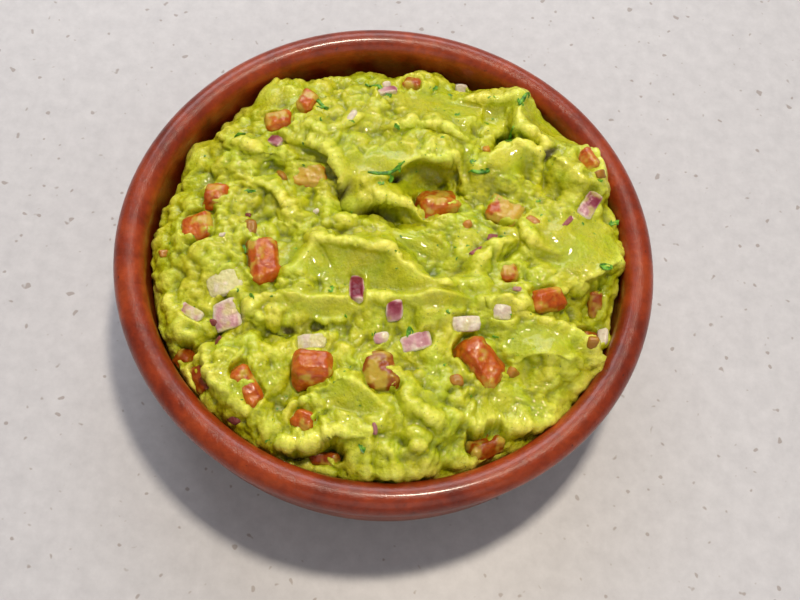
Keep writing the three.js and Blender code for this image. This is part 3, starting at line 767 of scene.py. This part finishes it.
def hug(points, tree, low, high, inner, seed):
    """Raises the guacamole close round a piece into an uneven collar."""
    close = ((points > low - COLLAR_REACH) & (points < high + COLLAR_REACH)).all(1) & (inner > 0.4)
    near = np.where(close)[0]
    collar = COLLAR_RISE + COLLAR_VARIES * noise(points[near], 3.0, 130 + seed)
    for i, at in enumerate(near):
        distance = tree.find_nearest(Vector(points[at]))[3]
        if distance < COLLAR_REACH:
            points[at, 2] += max(collar[i], 0) * (1 - distance / COLLAR_REACH) ** 2


def smear(points, tree, corners, inner, cover, seed):
    """Draws the guacamole over part of a piece, more towards its sides, and below the rest of it."""
    low, high = corners.min(0), corners.max(0)
    over = ((points[:, :2] > low[:2]) & (points[:, :2] < high[:2])).all(1)
    near = np.where(over & (points[:, 2] < high[2] + 3) & (inner > 0))[0]
    if not len(near):
        return
    centre, axes, half = box_axes(corners)
    outward = (np.abs((points[near] - centre) @ axes.T) / half)[:, :2].max(1)
    film = (0.5 * noise(points[near], 3.6, 30 + seed) + 0.15 * noise(points[near], 1.3, 31 + seed)
            + 0.55 * smooth_step(0.2, 1.0, outward))
    level = np.quantile(film, 1 - cover) if cover > 0 else NEVER_COVERED
    share = smooth_step(level - SMEAR_EDGE, level + SMEAR_EDGE, film)
    for i, at in enumerate(near):
        hit = tree.ray_cast(Vector((*points[at, :2], ABOVE_ALL)), Vector((0, 0, -1)))[0]
        if hit is None:
            continue
        bare = min(points[at, 2], hit.z - BARE_BELOW)
        covering = hit.z + SMEAR_THINNEST + SMEAR_THICKENS * (film[i] - level)
        points[at, 2] = bare + (covering - bare) * share[i]


def cling_to_pieces(points, inner):
    """Lets the guacamole lie round each piece, with smears over part of it."""
    for seed, (node, source) in enumerate(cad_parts.items()):
        if node in ("bowl", "guacamole"):
            continue
        corners = vertices_mm(source.data)
        faces = [tuple(p.vertices) for p in source.data.polygons]
        tree = BVHTree.FromPolygons([Vector(c) for c in corners], faces)
        hug(points, tree, corners.min(0), corners.max(0), inner, seed)
        smear(points, tree, corners, inner, COVER.get(node, USUAL_COVER), seed)


def mashed(points, normals, rough, inner):
    """The form with lumps of every size on it, and how far the middle and small lumps rise."""
    bent = points + 1.2 * np.stack([noise(points, 6, seed) for seed in (7, 8, 9)], 1)
    large, middle, small = [lumps(bent, size, seed) for seed, size in enumerate(LUMP_SIZES, 1)]
    left = smooth_step(10, -30, points[:, 0])
    patchy = 0.35 + 0.65 * smooth_step(-0.4, 0.5, noise(points, 11, 6) + 0.6 * left)
    shares = (rough, (0.10 + 0.9 * rough) * (0.5 + 0.8 * patchy), 0.06 + 0.94 * rough * patchy)
    relief = 0.30 * noise(points, 3.2, 10) + 0.18 * (0.2 + 0.8 * rough) * noise(points, 1.3, 11)
    for share, rise, lump in zip(shares, LUMP_RISES, (large, middle, small)):
        relief += share * rise * (lump - LUMPS_SUNK)
    relief *= smooth_step(0, 0.5, inner)
    return points + normals * relief[:, None], middle, small


def walls_below(points, loop, angles):
    """The heap's side down along the bowl and its flat underside: all points, and the new faces."""
    edge = heap_edge(angles)[0]
    count = len(loop)
    levels = [points]
    faces = []
    above = loop
    for share_down in (0.25, 0.5, 0.75, 1.0):
        height = edge + (FLOOR_HEIGHT - edge) * share_down
        radius = wall_radius(height) + INTO_WALL * (1 if share_down < 1 else -1)
        below = np.arange(count) + sum(len(level) for level in levels)
        levels.append(np.stack([radius * np.cos(angles), radius * np.sin(angles), height], 1))
        for i in range(count):
            j = (i + 1) % count
            faces.append((above[i], below[i], below[j], above[j]))
        above = below
    faces.append(tuple(int(i) for i in above[::-1]))
    return np.concatenate(levels), faces


def guacamole():
    row = HEAP_CELLS + 1
    across = np.linspace(-1, 1, row)
    a, b = np.meshgrid(across, across)
    angle, share = square_to_round(a.ravel(), b.ravel())
    points, smoothed, inner, ridges, caves = heap_form(angle, share)
    points = np.stack([soften(points[:, axis], row, 2) for axis in range(3)], 1)
    rough = 1 - smoothed
    points, middle, small = mashed(points, grid_normals(points, row), rough, inner)
    clung = points.copy()
    cling_to_pieces(clung, inner)
    points[:, 2] += soften(clung[:, 2] - points[:, 2], row, 2)

    # painted light and shade: what stands proud, the tops of lumps and the ridges are painted paler, as if
    # lit, and the creases darker, as if in shade; smoothed places are a little paler
    proud = points[:, 2] - soften(points[:, 2], row, 40)
    pale = 0.5 + 0.22 * proud + rough * (0.3 * (middle - 0.5) + 0.2 * (small - 0.5))
    pale += 0.04 * smoothed + 0.17 * ridges

    index = np.arange(row * row).reshape(row, row)
    quads = np.stack([index[:-1, :-1], index[:-1, 1:], index[1:, 1:], index[1:, :-1]], -1).reshape(-1, 4)
    loop = np.concatenate([index[0, :-1], index[:-1, -1], index[-1, :0:-1], index[:0:-1, 0]])
    everything, lower_faces = walls_below(points, loop, angle[loop])
    faces = [tuple(q) for q in quads.tolist()] + lower_faces
    piece = make_mesh("guacamole_heap", everything, faces, GUACAMOLE, "guacamole")
    # both attributes paint light into the colour: the first lightens what stands proud and darkens the
    # creases, the second paints shade deep in the caves
    for name, values, below in (("height", np.clip(pale, 0, 1), 0.4), ("cave", caves, 0.0)):
        full = np.full(len(everything), below)
        full[:row * row] = values
        add_attribute(piece, name, full)
    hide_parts("guacamole")
    return piece


# ------------------------------------------------------------------ small scraps and herbs
# scraps of coriander leaf: x, y, size
CORIANDER_AT = [
    (-27, 40, 3.5), (-24, 37.5, 3), (-44, 24, 3), (-12, 49, 3), (-7, 45, 2.5), (-23, 31.5, 2),
    (-15, 32, 1.8), (-2.5, 32.5, 3), (12, 42, 3), (20.5, 41.5, 2.4), (22, 43.5, 2), (-38, 8, 3),
    (-35.5, -8.5, 2.6), (-37, -16.5, 3), (-31, -22.5, 2.6), (-11.8, -16.6, 2.4), (-6, -8.4, 1),
    (-7, -23, 1.5), (17.4, -18, 2.4), (30, -22, 2.4), (9, -24.4, 3), (1, -26, 2), (58, 18, 3),
    (56, 2, 4), (18.6, 25.8, 2.2), (22, 24, 3), (-5, 15, 3.4), (-2.5, 18, 3.2), (-0.6, 20, 2.4),
    (26.5, 37, 4), (27.5, 35, 3.5), (-20, -56, 2), (2, -55, 3), (29, 48, 3), (31, 51, 3), (5, 52, 2.6),
    (10, 50, 1.8), (20, 2.4, 2), (28.6, 5.8, 2.2), (-17, -36.6, 1.8), (-27, -57, 1), (34, -44, 1),
    (36, -26, 1), (57, -16, 2), (52, 26, 2),
]

# leaf scraps: how far they spread compared with the sizes listed, corners and thickness
LEAF_SPREAD = 1.35
LEAF_CORNERS = 9
LEAF_THICKNESS = 0.16

# specks of coriander too small to place one by one
SPECK_COUNT = 170
SPECKS_WITHIN = 57

# small scraps: x, y, length, width, depth, turn, and how bright a tomato or how purple an onion is
TOMATO_SCRAPS = [
    (52, 27.5, 3.4, 2.4, 2, 30, 0.3), (-56.5, -11, 2.6, 2, 2, 10, 0.6),
    (36, -30, 3.6, 2.6, 2.4, -20, 0.5), (22, -35, 3, 2.8, 2.2, 15, 0.5), (21.5, 32, 2, 4, 2, 10, 0.9),
    (-35.2, -2.6, 3.2, 5, 3, 20, 0.25), (-30.6, 15, 2.4, 4.4, 2.4, 15, 0.3),
    (54, -20, 2.6, 3, 2, 0, 0.4), (36, 12, 4, 2.4, 2, -30, 0.8), (19.6, 8.4, 3, 2.2, 2, 40, 0.9),
]
ONION_SCRAPS = [
    (-37, 2, 1.6, 1.6, 1.2, 0, 0.9), (45.6, 14.6, 6, 1.3, 1.2, 60, 0.6), (27, 6, 4.2, 2, 1.4, 10, 0.7),
    (-39.5, -29.4, 3, 2, 1.4, 20, 0.85), (-37, -34, 2, 3, 1.4, 10, 0.9), (-30, -52, 4, 3, 2, -30, 0.85),
    (4.5, -51, 1.2, 3, 1.2, 15, 0.5), (58.6, -13, 2.6, 4.4, 1.6, 10, 0.0),
    (-15.4, 34, 1.9, 3.8, 1.5, -15, 0.0), (-46.5, 9.6, 2.4, 2, 1.4, 0, 0.05),
    (-8, 49.6, 2.6, 1.8, 1.4, 30, 0.1), (22.6, 1.2, 5, 1.3, 1.1, 50, 0.6),
    (33.6, -8.6, 2.6, 1.4, 1.1, -20, 0.4), (-42, -6, 1.8, 1.5, 1.2, 0, 0.05),
    (-20, 6, 2, 1.4, 1.1, 30, 0.1),
]

# coriander stems: points along each
STEMS = [
    [(-29.6, 42.4), (-26.5, 40.4), (-24.6, 38.6), (-22.4, 36.4)],
    [(-8.4, 17), (-5, 17.6), (-2, 19), (0.6, 21.4)],
    [(28, 40), (27.2, 37.4), (26.6, 34.6)], [(-14, 49.6), (-10.6, 48.6), (-6.6, 45.6)],
    [(17.6, 23.6), (20.4, 23.2), (23, 24.4)], [(30.4, 51), (29.4, 48.4), (28.6, 46)],
]
# how far a stem reaches sideways and upward from its middle, and its corners round about
STEM_HALF_WIDTH = 0.62
STEM_HALF_HEIGHT = 0.3
STEM_SIDES = 6

# share of its depth by which the middle of a scrap lies below the surface
SCRAP_SUNK = 0.3

UP = Vector((0, 0, 1))


def drop_point(tree, x, y):
    """The point of the heap at x, y, seen from above, and the direction out of its surface."""
    return tree.ray_cast(Vector((x * MM, y * MM, ABOVE_ALL * MM)), -UP)[:2]


def laid(points, turned, hit, normal, sunk):
    """Points of a small thing, turned, stood upright on the surface and sunk into it."""
    matrix = np.array(UP.rotation_difference(normal).to_matrix() @ turned)
    return points @ matrix.T + np.array(hit) / MM - sunk * np.array(normal)


def leaf(rng, size):
    """A torn scrap of leaf: an uneven outline, cupped, with a little thickness."""
    count = LEAF_CORNERS
    angles = np.arange(count) * 2 * math.pi / count
    radii = size / 2 * (0.55 + 0.45 * rng.rand(count))
    outline = np.stack([radii * np.cos(angles), 0.6 * radii * np.sin(angles), np.zeros(count)], 1)
    middle = outline * 0.5
    outline[:, 2] = 0.12 * size * (rng.rand(count) - 0.4)
    top = np.concatenate([[(0, 0, 0.05 * size)], middle, outline])
    bottom = top - (0, 0, LEAF_THICKNESS)
    under = len(top)
    faces = []
    for i in range(count):
        j = (i + 1) % count
        inner_a, inner_b = 1 + i, 1 + j
        outer_a, outer_b = 1 + count + i, 1 + count + j
        faces += [(0, inner_a, inner_b), (inner_a, outer_a, outer_b, inner_b)]
        faces += [(under, under + inner_b, under + inner_a),
                  (under + inner_a, under + inner_b, under + outer_b, under + outer_a)]
        faces.append((outer_a, under + outer_a, under + outer_b, outer_b))
    return np.concatenate([top, bottom]), faces


def leaves(name, places, rng, tree, sunk):
    """Scraps of coriander leaf pressed into the heap, joined into one mesh."""
    parts = []
    for x, y, size in places:
        hit, normal = drop_point(tree, x, y)
        if hit is None:
            continue
        points, faces = leaf(rng, LEAF_SPREAD * size)
        turn = Matrix.Rotation(rng.rand() * 2 * math.pi, 3, "Z")
        tip = Matrix.Rotation((rng.rand() - 0.5) * 0.7, 3, "X")
        parts.append((laid(points, turn @ tip, hit, normal, sunk), faces))
    make_mesh(name, *joined(parts), CORIANDER, "guacamole", smooth=False)


def chunk(size, seed):
    """A small worn block: a ball pressed towards a box, its surface a little uneven."""
    around, rows = 18, 11
    angles = np.arange(around) * 2 * math.pi / around
    rings = []
    for level in np.linspace(-90, 90, rows + 2)[1:-1] * DEG:
        rings.append(np.stack([np.cos(angles) * math.cos(level), np.sin(angles) * math.cos(level),
                               np.full(around, math.sin(level))], 1))
    ball = np.concatenate([*rings, [(0, 0, -1), (0, 0, 1)]])
    boxy = ball / ((ball ** 4).sum(1) ** 0.25)[:, None]
    boxy *= 1 + 0.26 * noise(ball, 0.9, seed)[:, None]
    return boxy * np.array(size) / 2, closed_faces(rows, around)


def scraps(name, places, tree, material, slot, own_attribute, attributes):
    """Small pieces half sunk in the heap, joined into one mesh; the last number of each place goes
    into `own_attribute`, and the other attributes are the same all over."""
    parts, amounts = [], []
    for seed, (x, y, *size, turn, amount) in enumerate(places):
        hit, normal = drop_point(tree, x, y)
        if hit is None:
            continue
        points, faces = chunk(size, 200 + seed)
        turned = Matrix.Rotation(turn * DEG, 3, "Z")
        parts.append((laid(points, turned, hit, normal, SCRAP_SUNK * size[2]), faces))
        amounts.append(np.full(len(points), amount))
    piece = make_mesh(name, *joined(parts), material, slot)
    amounts = np.concatenate(amounts)
    add_attribute(piece, own_attribute, amounts)
    for attribute, value in attributes.items():
        add_attribute(piece, attribute, np.full(len(amounts), value))


def stem(tree, places, rng):
    """A thin limp stalk lying on the heap, narrower towards both ends."""
    line = rounded_line(places, 5)
    angles = np.arange(STEM_SIDES) * 2 * math.pi / STEM_SIDES
    rings = []
    for i, (x, y) in enumerate(line):
        hit, _ = drop_point(tree, x, y)
        ahead = line[min(i + 1, len(line) - 1)] - line[max(i - 1, 0)]
        across = np.array([-ahead[1], ahead[0], 0]) / np.hypot(*ahead)
        taper = 0.35 + 0.65 * math.sin(math.pi * (i + 0.6) / (len(line) + 0.2))
        half_width = STEM_HALF_WIDTH * taper * (0.8 + 0.4 * rng.rand())
        ring = np.outer(half_width * np.cos(angles), across)
        ring += np.outer(STEM_HALF_HEIGHT * np.sin(angles), UP)
        rings.append(np.array(hit) / MM + (0, 0, 0.12) + ring)
    last = (len(line) - 1) * STEM_SIDES
    faces = [face[::-1] for face in tube_faces(len(line), STEM_SIDES)]
    faces += [tuple(range(STEM_SIDES)), tuple(last + i for i in range(STEM_SIDES))[::-1]]
    return np.concatenate(rings), faces


def herbs_and_scraps(heap):
    tree = BVHTree.FromObject(heap, bpy.context.evaluated_depsgraph_get())
    scraps("tomato_scraps", TOMATO_SCRAPS, tree, TOMATO, "tomato", "brightness", {"edge": 0.25, "film": 0.35})
    scraps("onion_scraps", ONION_SCRAPS, tree, ONION, "onion", "skin", {"film": 0.1})
    rng = np.random.RandomState(5)
    stalks = [stem(tree, places, rng) for places in STEMS]
    make_mesh("coriander_stems", *joined(stalks), CORIANDER, "guacamole")
    leaves("coriander_scraps", CORIANDER_AT, rng, tree, sunk=0.05)
    specks = []
    while len(specks) < SPECK_COUNT:
        x, y = (rng.rand(2) - 0.5) * 2 * (SPECKS_WITHIN + 1)
        if math.hypot(x, y) < SPECKS_WITHIN:
            specks.append((x, y, 0.45 + 0.9 * rng.rand() ** 3))
    leaves("coriander_specks", specks, rng, tree, sunk=0.0)


# ------------------------------------------------------------------ putting it together
bowl()
tomato_pieces()
onion_pieces()
herbs_and_scraps(guacamole())


# ------------------------------------------------------------------ floor, light and camera
# what the lamps point at; then each lamp in metres and watts: name, place, size, power, colour
LIT_POINT = Vector((0, 0, 0.03))
LAMPS = [
    ("window", (-0.5, 1.9, 1.6), (2.2, 0.9), 36, (0.96, 0.96, 1.0)),
    ("wall", (0.4, -1.3, 0.9), (1.6, 1.0), 5.0, (1.0, 0.93, 0.86)),
    ("lamp", (0.08, 0.14, 0.9), (0.08, 0.08), 5.2, (1.0, 0.88, 0.72)),
]
ROOM_COLOR = (0.98, 0.97, 1.0, 1)
ROOM_LIGHT = 0.25


def stage():
    mesh = bpy.data.meshes.new("table")
    reach = 3.0
    mesh.from_pydata([(-reach, -reach, 0), (reach, -reach, 0), (reach, reach, 0), (-reach, reach, 0)],
                     [], [(0, 1, 2, 3)])
    table = bpy.data.objects.new("table", mesh)
    bpy.context.scene.collection.objects.link(table)
    mesh.materials.append(table_material())


def lamp(name, place, size, power, color):
    light = bpy.data.lights.new(name, "AREA")
    light.shape = "RECTANGLE"
    light.size, light.size_y = size
    light.energy = power
    light.color = color
    holder = bpy.data.objects.new(name, light)
    holder.location = place
    holder.rotation_euler = (LIT_POINT - Vector(place)).to_track_quat("-Z", "Y").to_euler()
    bpy.context.scene.collection.objects.link(holder)


def camera():
    """Looks down at the bowl from the front, rolled a little, as a hand-held picture is."""
    elevation, roll, distance = 65.45 * DEG, 9.34 * DEG, 0.2841
    aim = Vector((0.00527, -0.01328, 0.036))
    back = Vector((0, -math.cos(elevation), math.sin(elevation)))
    level = Vector((1, 0, 0))
    upright = back.cross(level)
    right = level * math.cos(roll) + upright * math.sin(roll)
    up = upright * math.cos(roll) - level * math.sin(roll)
    lens = bpy.data.cameras.new("camera")
    lens.lens = 50
    lens.sensor_width = 36
    lens.clip_start = 0.01
    holder = bpy.data.objects.new("camera", lens)
    matrix = Matrix((right, up, back)).transposed().to_4x4()
    matrix.translation = aim + back * distance
    holder.matrix_world = matrix
    bpy.context.scene.collection.objects.link(holder)
    bpy.context.scene.camera = holder


def lights():
    for settings in LAMPS:
        lamp(*settings)
    world = bpy.data.worlds.new("room")
    world.use_nodes = True
    background = world.node_tree.nodes["Background"]
    background.inputs["Color"].default_value = ROOM_COLOR
    background.inputs["Strength"].default_value = ROOM_LIGHT
    bpy.context.scene.world = world
    bpy.context.scene.view_settings.view_transform = "Standard"


stage()
lights()
camera()
